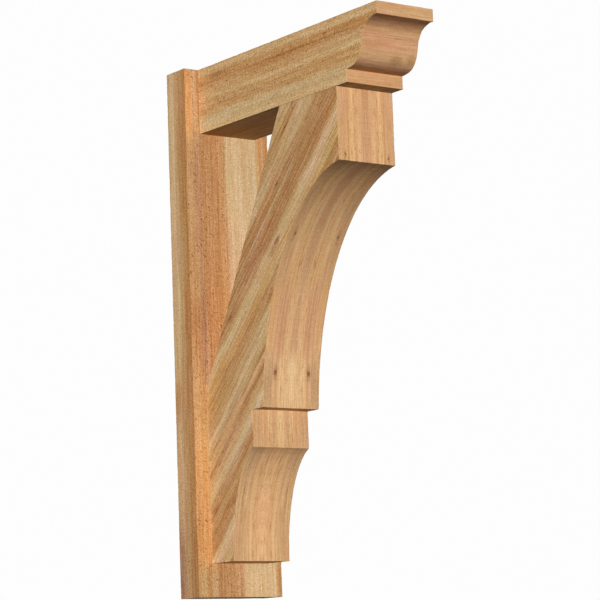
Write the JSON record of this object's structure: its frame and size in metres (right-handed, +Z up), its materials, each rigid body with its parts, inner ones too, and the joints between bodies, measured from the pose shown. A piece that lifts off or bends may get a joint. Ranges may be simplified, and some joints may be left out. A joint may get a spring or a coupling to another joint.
{
  "type": "outlooker",
  "caption": "Rough-sawn cedar outlooker: a wall post, a top beam with a moulded ogee end and a hollow-cut diagonal brace that holds up roof eaves.",
  "frame": {"origin": "centre of the post's back face, which lies against the wall", "axes": "+Y into the wall, +Z up, +X to the right as seen from the front"},
  "size_m": [0.1524, 0.508, 0.8128],
  "materials": {
    "post_cedar": "rough-sawn reddish cedar, unfinished",
    "beam_cedar": "rough-sawn reddish cedar, unfinished",
    "brace_cedar": "rough-sawn sides and band-sawn hollows, unfinished cedar"
  },
  "bodies": {
    "root": {"backing_post": "post_cedar", "top_beam": "beam_cedar", "brace": "brace_cedar"}
  },
  "joints": []
}
